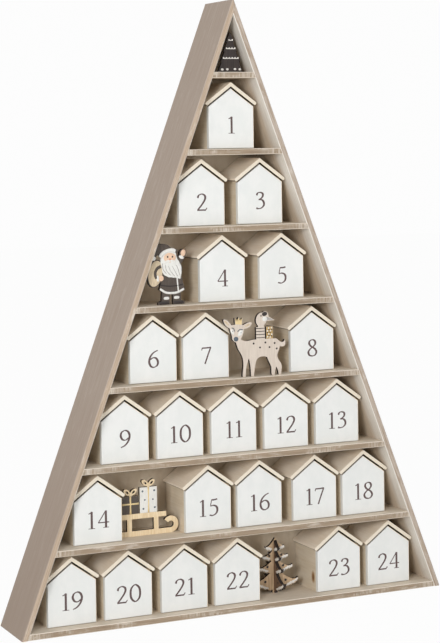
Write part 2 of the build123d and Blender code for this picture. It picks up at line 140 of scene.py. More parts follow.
# %% [markdown]
# ## Case boards
# The case is stained taupe outside, limed inside, and rubbed on its front edges until the tan wood
# shows. These are several finishes on one board. Cutting the board up would leave seams, so the finish is
# chosen by the direction a face looks in: outward, forward, inward or down. White lime is left on the
# front edges in patches, caught in the saw marks that cross them, and most of it near the joints. How
# near a point is to a joint follows from the lean of the side boards: |x| + z * tan(lean) is the same all
# along a side board's inner face. Inside the side boards, the lime goes over into a browner painted shade
# towards the back, where the houses shade the walls. Outside, a painted shade darkens the stain towards
# the foot, as if the light came from above. The undersides of the shelves are a darker painted shade.

# %% Stains and limes of the case
# Each finish is (fibres, ground, rubbed patches).
taupe_stain = ("#a49385", "#ac9d90", "#b9aca0")
# Painted shade: the outside is darker towards the foot, as if lit from above.
foot_shade = "#8c7a6b"
tan_edge = ("#a8947f", "#bda994", "#e0d8cd")
pale_edge = ("#978473", "#ac9a88", "#e6e0d8")
brown_edge = ("#8c7a66", "#a28f79", "#dfd7cb")
limed_wall = ("#d2cabf", "#ded8cf", "#ebe8e2")
# Painted shade: a browner copy of the limed wall, deep inside the side boards where the houses shade them.
deep_wall_shade = ("#c6b59f", "#d2c3af", "#dbcfbf")
limed_shelf = ("#d2c4b0", "#dcd0bf", "#e6ddd0")
# Painted shade: the shelves' undersides are a darker copy of their limed tops.
shelf_under_shade = ("#bba993", "#cab9a4", "#d6c9b7")

# Places where a finish changes, and the largest shares of growth bands, rubs, lime and the painted shade at
# the foot.
left_low, left_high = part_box("left_side_board")
lean = float(np.arctan2(left_high[0] - left_low[0], left_high[2] - left_low[2]))
inner_reach = float(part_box("base_board")[1][0])
joint_smear = 28 * mm
wall_shade_start, wall_shade_full = left_low[1] + 11 * mm, left_low[1] + 24 * mm
foot_start, foot_end = 0.28, 0.02
band_share, rub_share, lime_share, foot_share = 0.3, 0.55, 0.70, 0.45
print("side boards lean", round(float(np.degrees(lean)), 1), "degrees")


# %% Shades and wear of a board
def faced_shades(tree, place, forward, away, inside, deep, under, front):
    """Fibre, ground and rubbed shade: the inside finish, mixed to others by where a face lies and looks."""
    # Towards the back of the side boards, the inside goes over into the browner painted shade.
    brushed = {"Value": place["Y"], "From Min": wall_shade_start, "From Max": wall_shade_full}
    brushed = add(tree, "MapRange", brushed, interpolation_type="SMOOTHSTEP")
    down = looks(tree, "Z", -0.8, -0.9)
    shades = []
    for shade, *others in zip(inside, deep, under, front, taupe_stain):
        for share, other in zip((brushed, down, forward, away), others):
            shade = add(tree, "Mix", {"Factor": share, "A": shade, "B": other}, data_type="RGBA")
        shades.append(shade)
    return shades


def worn_share(tree, place, forward, grain, marks, filler):
    """Share of rubbed shade: the larger of rubs or sanded arrises and of lime caught in the saw marks."""
    rubs = streaks(tree, grain, 5.0, 24.0, low=0.54, high=0.76)
    arris = {"Value": looks(tree, "Y", -0.5, -0.6), "Value_001": forward}
    arris = add(tree, "Math", arris, operation="SUBTRACT")
    rubs = add(tree, "Math", {"Value": rubs, "Value_001": arris}, operation="MAXIMUM")
    rubs = add(tree, "Math", {"Value": rubs, "Value_001": rub_share}, operation="MULTIPLY")
    patches = streaks(tree, grain, 12.0, 36.0, low=0.50, high=0.72)
    saw_marks = streaks(tree, marks, 1.5, 14.0, low=0.34, high=0.66)
    across = add(tree, "Math", {"Value": place["X"]}, operation="ABSOLUTE")
    reach = {"Value": place["Z"], "Value_001": float(np.tan(lean)), "Value_002": across}
    reach = add(tree, "Math", reach, operation="MULTIPLY_ADD")
    near = {"Value": reach, "From Min": inner_reach - joint_smear, "From Max": inner_reach, "To Max": filler}
    lime = {"Value": patches, "Value_001": add(tree, "MapRange", near)}
    lime = add(tree, "Math", lime, operation="MAXIMUM")
    for share in (saw_marks, forward, lime_share):
        lime = add(tree, "Math", {"Value": lime, "Value_001": share}, operation="MULTIPLY")
    return add(tree, "Math", {"Value": rubs, "Value_001": lime}, operation="MAXIMUM")


print("shades in a finish:", len(taupe_stain))


# %% Limed and stained case boards
def limed_board(name, grain, marks, outward, front, filler, inside, deep, under):
    """Limed softwood stained by hand: matt, with pale rubs along the grain and on the sanded arrises."""
    material, tree = new_finish(name)
    place = add(tree, "SeparateXYZ", {"Vector": add(tree, "TexCoord").outputs["Object"]}).outputs
    forward = looks(tree, "Y", -0.72, -0.92)
    away = looks(tree, "X", 0.5 * outward, 0.6 * outward)
    fibre, ground, rubbed = faced_shades(tree, place, forward, away, inside, deep, under, front)
    fibres = streaks(tree, grain, 1.3, 55.0, low=0.30, high=0.62)
    bands = streaks(tree, grain, 11.0, 260.0, low=0.35, high=0.75)
    bands = add(tree, "Math", {"Value": bands, "Value_001": band_share}, operation="MULTIPLY")
    worn = worn_share(tree, place, forward, grain, marks, filler)
    # Painted shade: the outside faces get darker towards the foot.
    low_down = {"Value": place["Z"], "From Min": foot_start, "From Max": foot_end, "To Max": foot_share}
    foot = {"Value": add(tree, "MapRange", low_down), "Value_001": away}
    foot = add(tree, "Math", foot, operation="MULTIPLY")
    colour = add(tree, "Mix", {"Factor": fibres, "A": fibre, "B": ground}, data_type="RGBA")
    for share, shade in ((bands, fibre), (worn, rubbed), (foot, foot_shade)):
        colour = add(tree, "Mix", {"Factor": share, "A": colour, "B": shade}, data_type="RGBA")
    end_finish(tree, colour, fibres, depth=0.10, strength=0.4, roughness=0.78)
    return material


# A side board looks outward to its own side; an outward of 2 is one that no face of a shelf reaches.
wall = {"inside": limed_wall, "deep": deep_wall_shade, "under": limed_wall}
shelf = {"inside": limed_shelf, "deep": limed_shelf, "under": shelf_under_shade}
left_grain, right_grain = (0.0, lean, 0.0), (0.0, -lean, 0.0)
left_finish = limed_board("left_board_limed_softwood", left_grain, left_grain, -1, tan_edge, 0.0, **wall)
right_finish = limed_board("right_board_limed_softwood", right_grain, right_grain, 1, pale_edge, 0.4, **wall)
shelf_finish = limed_board("shelf_limed_softwood", along_x, along_z, 2, brown_edge, 1.0, **shelf)
shelf_names = ["base_board"] + [f"shelf_{tier}" for tier in range(1, 8)]
dress(left_finish, "left_side_board")
dress(right_finish, "right_side_board")
dress(shelf_finish, *shelf_names)
print("side boards: 2, level boards:", len(shelf_names))

# %% [markdown]
# ## Back panel
# A thin ply panel closes the case behind. Its front is limed with the rest, its back is bare ply. The two
# sides are told apart by the normal again, and the grain runs up the panel.

# %% Limed ply back panel
# Birch ply, limed on one side: flat and matt, a little browner than the boards; bare and banded behind.
material, tree = new_finish("back_panel_limed_ply")
fibres = streaks(tree, along_z, 2.6, 90.0)
clouds = streaks(tree, along_z, 34.0, 60.0)
limed = add(tree, "Mix", {"Factor": clouds, "A": "#bfae97", "B": "#d8ccb9"}, data_type="RGBA")
bare = add(tree, "Mix", {"Factor": fibres, "A": "#bfa27c", "B": "#d2b994"}, data_type="RGBA")
rear = looks(tree, "Y", 0.4, 0.6)
colour = add(tree, "Mix", {"Factor": rear, "A": limed, "B": bare}, data_type="RGBA")
end_finish(tree, colour, fibres, depth=0.04, strength=0.3, roughness=0.82)
dress(material, "back_panel")
print("back panel dressed:", material.name)

# %% [markdown]
# ## House shells and roofs
# The house boxes are thin poplar under a cream wash that lets the wood through, with grain from front to
# back. The undersides of the roofs are painted dark brown, a painted shade that makes the gap over each
# drawer dark. One wall shows a knot: a small oval where rings close on themselves, drawn by the distance
# from its centre, squeezed into an oval, rather than with a mesh.

# %% Cream-washed house shells and roofs
drawer_boxes = {number: np.array(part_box(f"drawer_{number:02d}")) for number in range(1, 25)}
knot_low = drawer_boxes[23][0]
knot_place = (knot_low[0], knot_low[1] + 11 * mm, knot_low[2] + 14 * mm)
knot_size = (1.5 * mm, 3.0 * mm, 5.2 * mm)
# Each ring of the knot is (colour, where it starts, where it is full), in shares of the knot's size.
knot_rings = (("#a9855c", 1.5, 0.8), ("#7d5836", 0.9, 0.35))
cloud_share = 0.5


def cream_wash(name, sides, front, under):
    """Thin limewash on poplar: matt cream, streaked along the depth; faces looking down take the under
    colour.
    """
    material, tree = new_finish(name)
    fibres = streaks(tree, along_y, 1.4, 40.0)
    clouds = streaks(tree, along_y, 12.0, 60.0)
    clouds = add(tree, "Math", {"Value": clouds, "Value_001": cloud_share}, operation="MULTIPLY")
    forward = looks(tree, "Y", -0.7, -0.9)
    down = looks(tree, "Z", -0.4, -0.7)
    place = add(tree, "TexCoord").outputs["Object"]
    around = {"Vector": place, "Location": knot_place, "Scale": knot_size}
    from_knot = add(tree, "Mapping", around, vector_type="TEXTURE")
    distance = add(tree, "VectorMath", {"Vector": from_knot}, operation="LENGTH").outputs["Value"]
    layers = [(clouds, sides[2]), (forward, front), (down, under)]
    for code, start, full in knot_rings:
        ring = add(tree, "MapRange", {"Value": distance, "From Min": start, "From Max": full})
        layers.append((ring, code))
    colour = add(tree, "Mix", {"Factor": fibres, "A": sides[0], "B": sides[1]}, data_type="RGBA")
    for share, code in layers:
        colour = add(tree, "Mix", {"Factor": share, "A": colour, "B": code}, data_type="RGBA")
    end_finish(tree, colour, fibres, depth=0.06, strength=0.4, roughness=0.8)
    return material


rows = range(1, 8)
shell_sides, roof_sides = ("#d1c1a8", "#d9cbb4", "#dfd3c1"), ("#ebdcc7", "#f0e4d2", "#f3e9da")
shell_finish = cream_wash("shell_cream_washed_poplar", shell_sides, front="#cbb798", under="#a88f70")
# Painted shade: the roofs' dark brown undersides make the gap over each drawer dark.
roof_finish = cream_wash("roof_cream_washed_poplar", roof_sides, front="#e4dac8", under="#4a3a28")
dress(shell_finish, *[f"house_shells_row_{row}" for row in rows])
dress(roof_finish, *[f"house_roofs_row_{row}" for row in rows])
print("knot at", np.round(np.array(knot_place) * 1000, 1).tolist(), "mm")

# %% [markdown]
# ## Drawers
# A drawer is one CAD node with a painted face and a bare tray behind it. The paint stops where the face
# board ends, a plane a few millimetres behind the front, so the Y coordinate tells paint from bare wood.
# The paint is sprayed on: nearly white, with faint clouds, and thin on the upper edges, which the direction
# of the face tells. The rounded right-hand edges are coloured cream as a painted highlight.

# %% Painted drawers
# Satin paint on poplar: smooth off-white faces. The coat is thin on the upper edges, where grey grain shows.
# The rounded right-hand edges are a light cream, a painted highlight. The tray is bare wood with a fine
# grain.
face_board, paint_fade = 5.0 * mm, 0.05 * mm
painted_edge_highlight = "#f6e6cb"
face_y = float(drawer_boxes[1][0, 1])
board_back = face_y + face_board
material, tree = new_finish("drawer_satin_white_paint")
clouds = streaks(tree, along_z, 14.0, 22.0)
fibres = streaks(tree, along_x, 0.9, 18.0)
upper = looks(tree, "Z", 0.75, 0.8)
# Painted highlight: the rounded right-hand edges of the faces turn light cream.
rounded = looks(tree, "X", 0.02, 0.2)
place = add(tree, "SeparateXYZ", {"Vector": add(tree, "TexCoord").outputs["Object"]}).outputs
limits = {"Value": place["Y"], "From Min": board_back - paint_fade, "From Max": board_back + paint_fade}
behind = add(tree, "MapRange", limits)
thin_coat = add(tree, "Mix", {"Factor": fibres, "A": "#b8ae9f", "B": "#cbc3b7"}, data_type="RGBA")
poplar = add(tree, "Mix", {"Factor": fibres, "A": "#c7b08f", "B": "#d9c6a8"}, data_type="RGBA")
colour = add(tree, "Mix", {"Factor": clouds, "A": "#dfe1df", "B": "#e4e5e3"}, data_type="RGBA")
for share, coat in ((upper, thin_coat), (rounded, painted_edge_highlight), (behind, poplar)):
    colour = add(tree, "Mix", {"Factor": share, "A": colour, "B": coat}, data_type="RGBA")
end_finish(tree, colour, fibres, depth=0.02, strength=0.25, roughness=0.55)
dress(material, *[f"drawer_{number:02d}" for number in drawer_boxes])
print("drawers painted:", len(drawer_boxes))

# %% [markdown]
# ## Surfaces for print and paint
# Numerals and painted details are thin raised layers on flat faces. Two surfaces make them all. A stroke
# carries a low curved profile along a path, as a pen does. A pillow shrinks an outline towards its middle
# in rings and lets it rise like a drop of paint. Both are closed behind, a little below the face.


# %% Curves and outlines
def smooth(points, samples=28, closed=False):
    """Catmull-Rom curve: cubics between points, with half the step between a point's neighbours as slope."""
    points = np.asarray(points, float)
    if closed:
        padded = np.vstack([points[-1:], points, points[:2]])
    else:
        padded = np.vstack([2 * points[0] - points[1], points, 2 * points[-1] - points[-2]])
    spans = len(padded) - 3
    position = np.linspace(0, spans, samples, endpoint=not closed)
    index = np.minimum(position.astype(int), spans - 1)
    share = (position - index)[:, None]
    before, start, end, after = (padded[index + step] for step in range(4))
    line = 2 * start + (end - before) * share
    square = (2 * before - 5 * start + 4 * end - after) * share**2
    cube = (3 * start - before - 3 * end + after) * share**3
    return 0.5 * (line + square + cube)


def oval(across, up, length, breadth, turn=0.0, count=24, power=2.0):
    """Outline |x/length|^power + |y/breadth|^power = 1, turned by degrees; a high power gives an oblong."""
    angle = np.linspace(0, 2 * np.pi, count, endpoint=False)
    x = length * np.sign(np.cos(angle)) * np.abs(np.cos(angle)) ** (2 / power)
    y = breadth * np.sign(np.sin(angle)) * np.abs(np.sin(angle)) ** (2 / power)
    cosine, sine = np.cos(np.radians(turn)), np.sin(np.radians(turn))
    return np.stack([across + cosine * x - sine * y, up + sine * x + cosine * y], axis=1)


print("an oval has", len(oval(0, 0, 5, 3)), "points")


# %% Strokes and pillows
def ring_quads(rings, count):
    """Quads between neighbouring rings of a grid, where each ring of a count of points closes on itself."""
    ring, step = np.meshgrid(np.arange(rings - 1), np.arange(count), indexing="ij")
    first = ring * count
    after = (step + 1) % count
    quads = np.stack([first + step, first + after, first + count + after, first + count + step], axis=-1)
    return quads.reshape(-1, 4)


def stroke(path, widths, rise, lift=0.0, sink=0.15):
    """Profile along a path: half a width to each side, lift + rise * (1 - u^2) high across it, closed."""
    path = np.asarray(path, float)
    along = np.gradient(path, axis=0)
    along /= np.linalg.norm(along, axis=1, keepdims=True) + 1e-12
    left = np.stack([-along[:, 1], along[:, 0]], axis=1)
    across = np.array([1.0, 0.6, 0.0, -0.6, -1.0, -1.0, 1.0])
    sunk = np.array([0, 0, 0, 0, 0, 1, 1])
    out = lift + rise * (1 - across**2) - (lift + sink) * sunk
    half = np.broadcast_to(np.asarray(widths, float), len(path)) / 2
    flat = path[:, None, :] + left[:, None, :] * (half[:, None] * across)[:, :, None]
    points = np.concatenate([flat, np.broadcast_to(out[None, :, None], (*flat.shape[:2], 1))], axis=2)
    start = np.arange(len(across))
    ends = np.stack([start[::-1], start + (len(path) - 1) * len(across)])
    return points.reshape(-1, 3), [ring_quads(len(path), len(across)), ends]


def pillow(outline, rise, lift=0.0, sink=0.15):
    """Rings of an outline, shrunk to shares s of it, lift + rise * (1 - s^2) high, with a pole each side."""
    outline = np.asarray(outline, float)
    middle = outline.mean(axis=0)
    shares = np.array([1.0, 1.0, 0.94, 0.75, 0.42])
    sunk = np.array([1, 0, 0, 0, 0])
    out = lift + rise * (1 - shares**2) - (lift + sink) * sunk
    flat = middle + shares[:, None, None] * (outline - middle)[None]
    rings = np.concatenate([flat, np.broadcast_to(out[:, None, None], (*flat.shape[:2], 1))], axis=2)
    poles = np.array([[*middle, -sink], [*middle, lift + rise]])
    count = len(outline)
    step = np.arange(count)
    after = (step + 1) % count
    last, pole = (len(shares) - 1) * count, len(shares) * count
    back = np.stack([after, step, np.full(count, pole)], axis=-1)
    front = np.stack([last + step, last + after, np.full(count, pole + 1)], axis=-1)
    return np.vstack([rings.reshape(-1, 3), poles]), [ring_quads(len(shares), count), back, front]


def piece(name, parts, origin, along, material, body):
    """Joins surfaces drawn in mm as (across, up, out), lays them on a face and lets them ride a body."""
    along = np.array([along[0], along[1], 0.0])
    outward = np.array([along[1], -along[0], 0.0])
    axes = np.stack([along, np.array([0.0, 0.0, 1.0]), outward])
    points = np.asarray(origin) + np.vstack([surface for surface, _ in parts]) @ axes * mm
    faces, start = [], 0
    for surface, groups in parts:
        for group in groups:
            faces += (group + start).tolist()
        start += len(surface)
    mesh = bpy.data.meshes.new(name)
    mesh.from_pydata(points.tolist(), [], faces)
    mesh.polygons.foreach_set("use_smooth", np.ones(len(mesh.polygons), bool))
    mesh.materials.append(material)
    made = bpy.data.objects.new(name, mesh)
    bpy.context.scene.collection.objects.link(made)
    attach(made, body)


print("a pillow has", len(pillow(oval(0, 0, 5, 3), rise=0.12)[0]), "points")

# %% [markdown]
# ## Paints
# Figures and print use thin matt acrylic. Real brushwork is never one flat colour: it is a shade darker
# where the ply's grain shows and paler where it lies thick, so each paint is its colour and two close
# neighbours of it, mixed by fine noise.


# %% Matt acrylic paints
def acrylic(name, code, spread=0.10, roughness=0.6):
    """Matt acrylic brushed on ply: a colour that wanders by a small share darker and lighter at 1 to 4 mm."""
    material, tree = new_finish(name)
    brushed = streaks(tree, along_z, 0.9, 4.0)
    colour = np.array(linear(code)[:3])
    darker, lighter = (*colour * (1 - spread), 1.0), (*np.minimum(colour * (1 + spread), 1.0), 1.0)
    shade = add(tree, "Mix", {"Factor": brushed, "A": darker, "B": lighter}, data_type="RGBA")
    end_finish(tree, shade, brushed, depth=0.03, strength=0.4, roughness=roughness)
    return material


# A recipe is the colour, its spread and its roughness. White and snow lie thick and even; gold and bronze
# have mica in them, so they shine a little.
paint_recipes = {
    "white": ["#e0dfda", 0.05],
    "charcoal": ["#4b423b"],
    "black": ["#2c2421"],
    "skin": ["#e0bfa4"],
    "cream": ["#cdbb9e"],
    "gold": ["#e2ca97", 0.10, 0.45],
    "bronze": ["#b3935a", 0.15, 0.45],
    "slate": ["#55606a"],
    "grey": ["#a39f9b"],
    "snow": ["#dcd8d1", 0.06],
    "blush": ["#d59a80"],
}
paints = {label: acrylic(f"figure_{label}_acrylic", *recipe) for label, recipe in paint_recipes.items()}
paints["ink"] = acrylic("numeral_taupe_ink", "#574443")
print("paints:", ", ".join(paints))

# %% [markdown]
# ## Numerals
# The drawers carry serif numerals from 1 to 24. A font file can't be read here, and its outlines would
# be somebody's design, so the numerals are written: each is a few pen paths, and the pen is broad, so a
# stroke is wide where it runs upright and fine where it runs level. That is what gives a serif numeral
# its thick and thin parts. A number's strokes stand side by side about its middle and ride on its drawer.

# %% Pen paths of the ten numerals
# Each numeral is (width, paths) and each path (weight, points), in shares of the numeral's height. A weight
# called pen leaves the width to the broad pen. The path of a ring numeral closes on itself.
pen, serif, hair, stem = None, 0.036, 0.058, 0.132
ring_numerals = "08"
numeral_paths = {
    "0": (0.60, [
        (pen, [(0.30, 0.98), (0.10, 0.80), (0.05, 0.5), (0.10, 0.20),
               (0.30, 0.02), (0.50, 0.20), (0.55, 0.5), (0.50, 0.80)]),
    ]),
    "1": (0.42, [
        (stem, [(0.22, 0.0), (0.22, 0.5), (0.22, 0.97)]),
        (hair, [(0.06, 0.86), (0.14, 0.89), (0.23, 0.97)]),
        (serif, [(0.05, 0.018), (0.22, 0.026), (0.39, 0.018)]),
    ]),
    "2": (0.58, [
        (pen, [(0.06, 0.74), (0.12, 0.89), (0.28, 0.965), (0.43, 0.89),
               (0.47, 0.73), (0.39, 0.52), (0.23, 0.28), (0.06, 0.06)]),
        (0.085, [(0.03, 0.040), (0.28, 0.044), (0.50, 0.040)]),
        (hair, [(0.47, 0.04), (0.52, 0.09), (0.56, 0.17)]),
    ]),
    "3": (0.54, [
        (pen, [(0.07, 0.80), (0.13, 0.92), (0.26, 0.965), (0.40, 0.90),
               (0.42, 0.76), (0.33, 0.62), (0.18, 0.545)]),
        (pen, [(0.18, 0.545), (0.37, 0.52), (0.47, 0.37), (0.46, 0.19),
               (0.32, 0.05), (0.14, 0.02), (0.05, 0.07)]),
    ]),
    "4": (0.60, [
        (hair, [(0.42, 0.96), (0.23, 0.63), (0.03, 0.31)]),
        (0.062, [(0.03, 0.31), (0.30, 0.31), (0.59, 0.31)]),
        (stem, [(0.43, 0.0), (0.43, 0.5), (0.43, 0.97)]),
        (serif, [(0.28, 0.018), (0.43, 0.026), (0.58, 0.018)]),
    ]),
    "5": (0.53, [
        (0.085, [(0.17, 0.925), (0.32, 0.925), (0.48, 0.955)]),
        (hair, [(0.18, 0.94), (0.14, 0.76), (0.11, 0.57)]),
        (pen, [(0.11, 0.57), (0.26, 0.605), (0.42, 0.53), (0.48, 0.35),
               (0.42, 0.14), (0.24, 0.025), (0.05, 0.06)]),
    ]),
    "6": (0.58, [
        (pen, [(0.52, 0.97), (0.32, 0.87), (0.14, 0.66), (0.06, 0.36), (0.13, 0.11), (0.29, 0.02),
               (0.47, 0.11), (0.525, 0.31), (0.44, 0.51), (0.28, 0.565), (0.09, 0.45)]),
    ]),
    "7": (0.56, [
        (0.080, [(0.05, 0.920), (0.28, 0.920), (0.54, 0.935)]),
        (hair, [(0.06, 0.93), (0.05, 0.87), (0.03, 0.79)]),
        (0.092, [(0.52, 0.93), (0.36, 0.48), (0.20, 0.0)]),
    ]),
    "8": (0.58, [
        (pen, [(0.29, 0.98), (0.14, 0.90), (0.12, 0.74), (0.23, 0.58), (0.42, 0.45),
               (0.52, 0.25), (0.44, 0.07), (0.29, 0.02), (0.12, 0.08), (0.06, 0.26),
               (0.16, 0.43), (0.35, 0.58), (0.46, 0.74), (0.43, 0.91)]),
    ]),
    "9": (0.58, [
        (pen, [(0.49, 0.55), (0.30, 0.425), (0.14, 0.48), (0.055, 0.68), (0.11, 0.88), (0.29, 0.975),
               (0.45, 0.88), (0.52, 0.64), (0.44, 0.34), (0.26, 0.12), (0.06, 0.02)]),
    ]),
}
print("numerals drawn:", "".join(numeral_paths))

# %% Numbers from 1 to 24
# Height, middle over the drawer's foot and relief are in mm, the gap in shares of the numeral's height.
numeral_height, numeral_middle, numeral_relief = 17.8, 24.0, 0.05
numeral_stretch, numeral_gap = 1.16, 0.12
pen_angle, pen_swell = 0.20, 1.3
curve_samples, straight_samples = 60, 12


def pen_widths(path):
    """Width of a broad pen: fine along its edge and broad across it, by the sine of the angle between."""
    step = np.gradient(path, axis=0)
    turned = np.abs(np.sin(np.arctan2(step[:, 1], step[:, 0]) - pen_angle))
    return hair + (stem - hair) * turned**pen_swell


def number_strokes(text):
    """Strokes of a number, set side by side and centred, in mm from its middle."""
    total = numeral_stretch * sum(numeral_paths[digit][0] for digit in text) + numeral_gap * (len(text) - 1)
    start = -total / 2
    parts = []
    for digit in text:
        width, paths = numeral_paths[digit]
        closed = digit in ring_numerals
        for weight, points in paths:
            samples = curve_samples if weight is pen else straight_samples
            path = smooth(points, samples, closed)
            if closed:
                path = np.vstack([path, path[:1]])
            path = path * [numeral_stretch, 1.0]
            widths = pen_widths(path) if weight is pen else weight
            path = (path + [start, -0.5]) * numeral_height
            widths = np.asarray(widths) * numeral_height
            parts.append(stroke(path, widths, rise=numeral_relief, sink=numeral_relief))
        start += numeral_stretch * width + numeral_gap
    return parts


for number, (low, high) in drawer_boxes.items():
    origin = ((low[0] + high[0]) / 2, face_y, low[2] + numeral_middle * mm)
    body = f"drawer_{number:02d}"
    parts = number_strokes(str(number))
    piece(f"numeral_{number:02d}", parts, origin, (1, 0), paints["ink"], body)
print("numbers written:", len(drawer_boxes))

# %% [markdown]
# ## Cut-out figures
# The figures are sawn by laser from thin ply, which burns the cut edges dark and leaves the faces clean.
# Edge and face differ only in direction, so one material does both: where the normal lies in the plane
# of the ply it is a burnt edge. The fir's two panels stand turned, so the face direction is given.


# %% Laser-cut ply
def cut_ply(name, dark, light, face=(0.0, -1.0), edge="#140d09", back=None):
    """Laser-cut ply: a grained or stained face, a burnt edge; the back can be bare ply."""
    material, tree = new_finish(name)
    fibres = streaks(tree, along_z, 0.9, 16.0)
    scorch = streaks(tree, along_y, 0.8, 3.0)
    turned = {"Vector": add(tree, "TexCoord").outputs["Normal"], "Vector_001": (*face, 0.0)}
    turned = add(tree, "VectorMath", turned, operation="DOT_PRODUCT").outputs["Value"]
    level = add(tree, "Math", {"Value": turned}, operation="ABSOLUTE")
    colour = add(tree, "Mix", {"Factor": fibres, "A": dark, "B": light}, data_type="RGBA")
    if back:
        bare = add(tree, "Mix", {"Factor": fibres, "A": back[0], "B": back[1]}, data_type="RGBA")
        rear = add(tree, "MapRange", {"Value": turned, "From Min": -0.4, "From Max": -0.6})
        colour = add(tree, "Mix", {"Factor": rear, "A": colour, "B": bare}, data_type="RGBA")
    burnt = add(tree, "Mix", {"Factor": scorch, "A": edge, "B": "#2e2018"}, data_type="RGBA")
    cut = add(tree, "MapRange", {"Value": level, "From Min": 0.75, "From Max": 0.45})
    colour = add(tree, "Mix", {"Factor": cut, "A": colour, "B": burnt}, data_type="RGBA")
    end_finish(tree, colour, fibres, depth=0.05, strength=0.4, roughness=0.7)
    return material


# Charcoal paint, bare pale ply, ply with a thin coat of gold, and dark and light brown stain, all with the
# fine grain showing through. The fir's cross panel is a darker brown than its wide one.
bare_ply = ("#d0b48f", "#dfc9a9")
fir_turn = np.radians(-3.0)
fir_along = np.array([np.cos(fir_turn), np.sin(fir_turn)])
fir_behind = np.array([-np.sin(fir_turn), np.cos(fir_turn)])
dress(cut_ply("santa_painted_ply", "#443b35", "#554b43", back=bare_ply), "santa_figure")
dress(cut_ply("reindeer_bare_ply", "#cabdb0", "#d5c9bc"), "reindeer", "reindeer_parcels")
dress(cut_ply("sledge_gold_ply", "#dcc49c", "#ead7b6", back=bare_ply), "sledge", "sledge_gifts")
dress(cut_ply("top_tree_stained_ply", "#221a17", "#322824", edge="#241b18"), "top_tree")
dress(cut_ply("fir_wide_stained_ply", "#a98e6f", "#c5aa8a", face=tuple(-fir_behind)), "fir_panel_wide")
dress(cut_ply("fir_cross_dark_ply", "#5e4736", "#735a45", face=tuple(fir_along)), "fir_panel_cross")
print("the fir is turned by", round(float(np.degrees(fir_turn)), 1), "degrees")

# %% [markdown]
# ## Painting the bearded figure
# The ply is painted charcoal for coat and hat. Sack, beard, face and trimmings lie on it as dabs and
# brush lines, each a little higher than what it overlaps, in the order a painter would lay them. The face
# is a plain one of two dots, a nose and a moustache.


# %% Brush marks
def dab(size, across, up, length, breadth, turn=0.0, *, rise, lift=0.0, count=24, power=2.0):
    """An oval pillow of paint, placed and sized in shares of a figure's height; rise and lift are in mm."""
    return pillow(oval(across, up, length, breadth, turn, count, power) * size, rise, lift)


def brush(size, shares, width, *, rise, lift=0.0, samples=28):
    """A stroke of paint along a smooth line through shares of a figure's height; its width is in mm."""
    return stroke(smooth(shares, samples) * size, width, rise, lift)


def paint_figure(name, parts, origin, colour, along=(1, 0)):
    """A painted layer on a figure that is glued to the case."""
    piece(name, parts, origin, along, paints[colour], "case")


santa_height, santa_right = 62.0, 0.278
santa_box = np.array(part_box("santa_figure"))
santa_origin = (santa_box[1, 0] - santa_right * santa_height * mm, santa_box[0, 1], santa_box[0, 2])
santa_dab, santa_brush = partial(dab, santa_height), partial(brush, santa_height)
print("the bearded figure stands at", np.round(np.array(santa_origin) * 1000, 1).tolist(), "mm")

# %% Beard and trimmings of the bearded figure
beard_samples, beard_locks, lock_depth = 75, 15, 0.014
beard = smooth([
    (-0.180, 0.770), (-0.184, 0.650), (-0.162, 0.555), (-0.120, 0.490), (-0.040, 0.450),
    (0.040, 0.440), (0.110, 0.428), (0.164, 0.420), (0.188, 0.520), (0.184, 0.620),
    (0.145, 0.700), (0.104, 0.770), (0.080, 0.850), (-0.040, 0.870), (-0.150, 0.840),
], beard_samples, closed=True)
ripple = 1 + lock_depth * np.cos(np.arange(beard_samples) * 2 * np.pi / beard_samples * beard_locks)
beard = beard.mean(0) + (beard - beard.mean(0)) * ripple[:, None]
brim = [(-0.195, 0.780), (-0.138, 0.846), (-0.046, 0.884), (0.035, 0.892), (0.078, 0.868)]
hem = [(-0.197, 0.262), (-0.10, 0.203), (0.00, 0.188), (0.115, 0.197), (0.228, 0.248)]
coat_front = [(0.108, 0.44), (0.116, 0.33), (0.128, 0.215)]
belt = [(-0.19, 0.325), (0.0, 0.300), (0.205, 0.320)]
arm = [(-0.180, 0.632), (-0.242, 0.602), (-0.277, 0.545), (-0.280, 0.485), (-0.258, 0.437)]
curls = [
    [(-0.150, 0.68), (-0.140, 0.58), (-0.085, 0.51)],
    [(-0.100, 0.65), (-0.080, 0.56), (-0.01, 0.48)],
    [(-0.045, 0.63), (-0.010, 0.55), (0.060, 0.465)],
    [(0.020, 0.63), (0.060, 0.56), (0.115, 0.46)],
    [(0.085, 0.65), (0.125, 0.58), (0.150, 0.48)],
]
print("points round the beard:", len(beard))

# %% Paint on the bearded figure
santa_white = [
    pillow(beard * santa_height, rise=0.45),
    santa_brush(brim, 3.7, rise=0.6, lift=0.5),
    santa_dab(-0.303, 0.765, 0.036, 0.036, rise=0.5),
    santa_brush(hem, 2.3, rise=0.45),
    santa_brush(coat_front, 1.5, rise=0.35, samples=8),
    santa_dab(-0.086, 0.106, 0.050, 0.024, rise=0.4, power=3.0),
    santa_dab(0.094, 0.112, 0.050, 0.024, rise=0.4, power=3.0),
    santa_dab(-0.070, 0.704, 0.060, 0.024, 18, rise=0.5, lift=0.7),
    santa_dab(0.036, 0.704, 0.060, 0.024, -18, rise=0.5, lift=0.7),
    santa_dab(0.190, 0.768, 0.046, 0.026, -25, rise=0.55),
    santa_dab(-0.238, 0.437, 0.022, 0.052, 6, rise=0.5, lift=0.6),
]
santa_skin = [
    santa_dab(-0.020, 0.768, 0.108, 0.078, rise=0.25, lift=0.5),
    santa_dab(-0.180, 0.436, 0.046, 0.046, rise=0.4, lift=0.6),
    santa_dab(0.222, 0.838, 0.044, 0.056, -15, rise=0.5),
]
